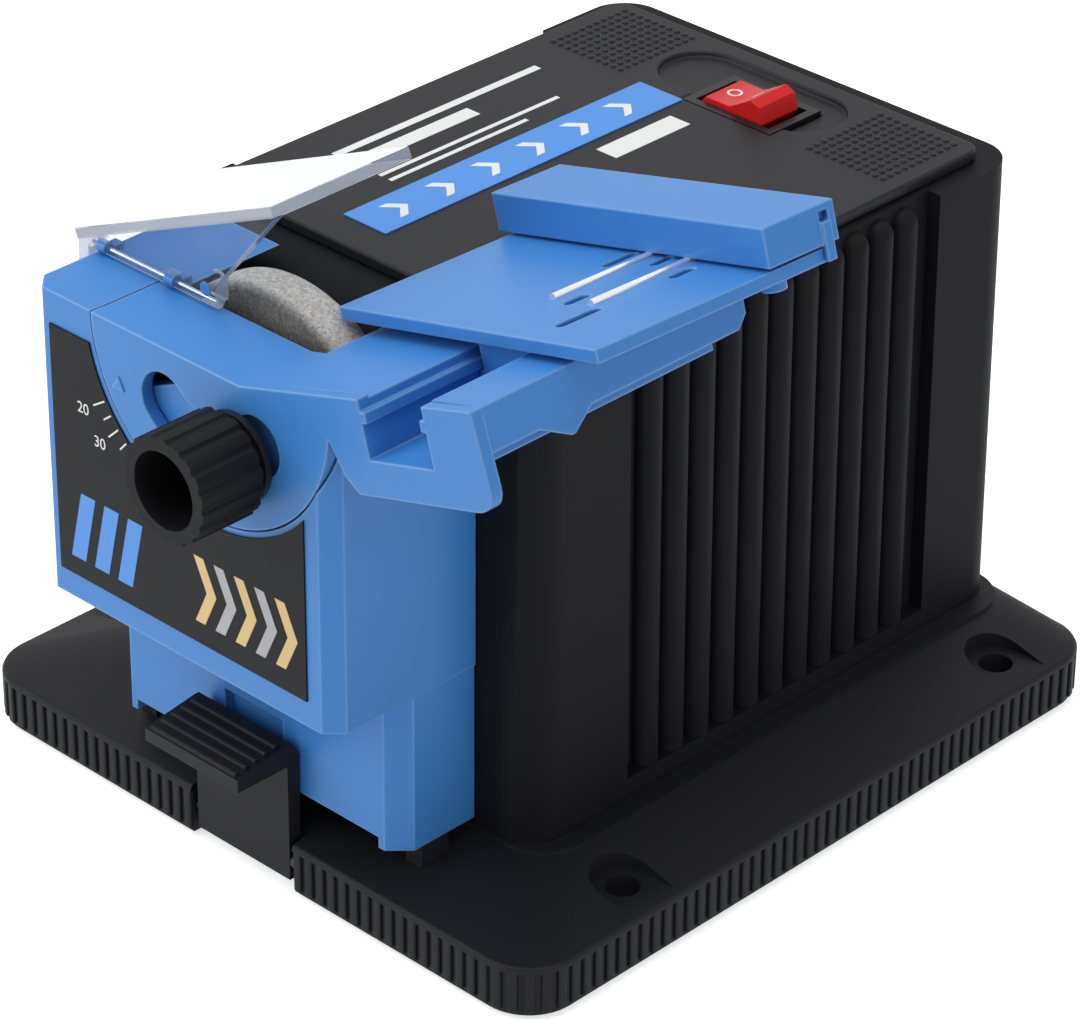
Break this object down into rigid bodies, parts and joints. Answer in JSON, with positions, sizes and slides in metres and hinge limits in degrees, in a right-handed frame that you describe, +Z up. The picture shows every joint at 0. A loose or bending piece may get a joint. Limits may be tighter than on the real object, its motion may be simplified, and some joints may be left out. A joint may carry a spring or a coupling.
{
  "type": "electric multipurpose sharpener",
  "caption": "Electric bench sharpener: ribbed motor housing on a flared base, grinding wheel behind a lift-off attachment with tilting rest, sliding carriage, fence and clear guard.",
  "frame": {"origin": "centre of the four base mounting holes, at floor level under the rubber feet", "axes": "+X to the right, +Y to the back, +Z up; the attachment and its knob face -Y"},
  "size_m": [0.1408, 0.1665, 0.1285],
  "materials": {
    "black_abs": "fine spark-eroded grain",
    "blue_abs": "satin moulded",
    "red_switch": "gloss moulded",
    "switch_black": "semi-gloss moulded",
    "rubber_black": "matt moulded",
    "zinc_steel": "bright zinc plated",
    "motor_steel": "nickel plated sheet",
    "lamination_steel": "stacked sheet",
    "ferrite": "sintered, ground",
    "copper": "enamelled wire and turned copper",
    "bronze": "sintered, oiled",
    "brass_blade": "stamped",
    "carbon": "pressed graphite",
    "cream_nylon": "moulded",
    "grey_nylon": "moulded",
    "board_green": "solder mask",
    "capacitor_sleeve": "shrink sleeve",
    "grinding_stone": "vitrified aluminium oxide",
    "label_film": "printed film",
    "strip_film": "printed film",
    "clear_pc": "clear moulded polycarbonate"
  },
  "bodies": {
    "base": {"base_plate": "black_abs", "rubber_feet": "rubber_black", "case_screws": "zinc_steel", "housing_shell": "black_abs", "top_cover": "black_abs", "top_strip": "strip_film", "switch_frame": "switch_black", "switch_terminals": "brass_blade", "cord_grommet": "rubber_black", "motor_can": "motor_steel", "motor_magnets": "ferrite", "shaft_bearings": "bronze", "motor_end_cap": "cream_nylon", "carbon_brushes": "carbon", "motor_cradle": "grey_nylon", "motor_straps": "zinc_steel", "strap_screws": "zinc_steel", "rectifier_board": "board_green", "filter_capacitor": "capacitor_sleeve", "latch_pin": "zinc_steel", "latch_spring": "zinc_steel"},
    "rotor": {"motor_shaft": "zinc_steel", "armature_core": "lamination_steel", "armature_windings": "copper", "commutator": "copper", "cooling_fan": "grey_nylon", "inner_flange": "zinc_steel", "grinding_wheel": "grinding_stone", "outer_flange": "zinc_steel", "wheel_nut": "zinc_steel"},
    "switch_rocker": {"rocker": "red_switch"},
    "latch_lever": {"latch": "black_abs"},
    "attachment": {"attachment_body": "blue_abs", "front_label": "label_film", "clamp_bolt": "zinc_steel", "clamp_washer": "zinc_steel", "guard_pin": "zinc_steel"},
    "knob": {"clamp_knob": "black_abs"},
    "rest": {"tilting_rest": "blue_abs"},
    "slide_table": {"carriage": "blue_abs", "guide_rods": "zinc_steel"},
    "stop_fence": {"fence": "blue_abs"},
    "wheel_guard": {"guard": "clear_pc"}
  },
  "joints": [
    {"name": "wheel_spin", "type": "hinge", "parent": "base", "child": "rotor", "pos_m": [0, -0.06365, 0.0785], "axis": [0, -1, 0], "continuous": true},
    {"name": "switch_rock", "type": "hinge", "parent": "base", "child": "switch_rocker", "pos_m": [0.0034, 0.04105, 0.0971], "axis": [0, 1, 0], "range_deg": [0, 30]},
    {"name": "latch_press", "type": "hinge", "parent": "base", "child": "latch_lever", "pos_m": [0, -0.07405, 0.006], "axis": [1, 0, 0], "range_deg": [0, 8], "stiffness_Nm_per_rad": 0.4, "springref_deg": -2.86},
    {"name": "attachment_lift", "type": "slide", "parent": "base", "child": "attachment", "axis": [0, 0, 1], "range_m": [0, 0.06]},
    {"name": "rest_tilt", "type": "hinge", "parent": "attachment", "child": "rest", "pos_m": [0.0071, -0.085, 0.1007], "axis": [0, -1, 0], "range_deg": [0, 24]},
    {"name": "knob_turn", "type": "hinge", "parent": "attachment", "child": "knob", "pos_m": [0.01359, -0.095, 0.08785], "axis": [0, -1, 0], "range_deg": [0, 270]},
    {"name": "carriage_slide", "type": "slide", "parent": "rest", "child": "slide_table", "axis": [0, 1, 0], "range_m": [-0.021, 0.004]},
    {"name": "fence_slide", "type": "slide", "parent": "slide_table", "child": "stop_fence", "axis": [0.0754, 0.9969, 0.0216], "range_m": [-0.014, 0]},
    {"name": "guard_swing", "type": "hinge", "parent": "attachment", "child": "wheel_guard", "pos_m": [-0.0248, -0.07205, 0.1015], "axis": [1, 0, 0], "range_deg": [0, 85]}
  ]
}
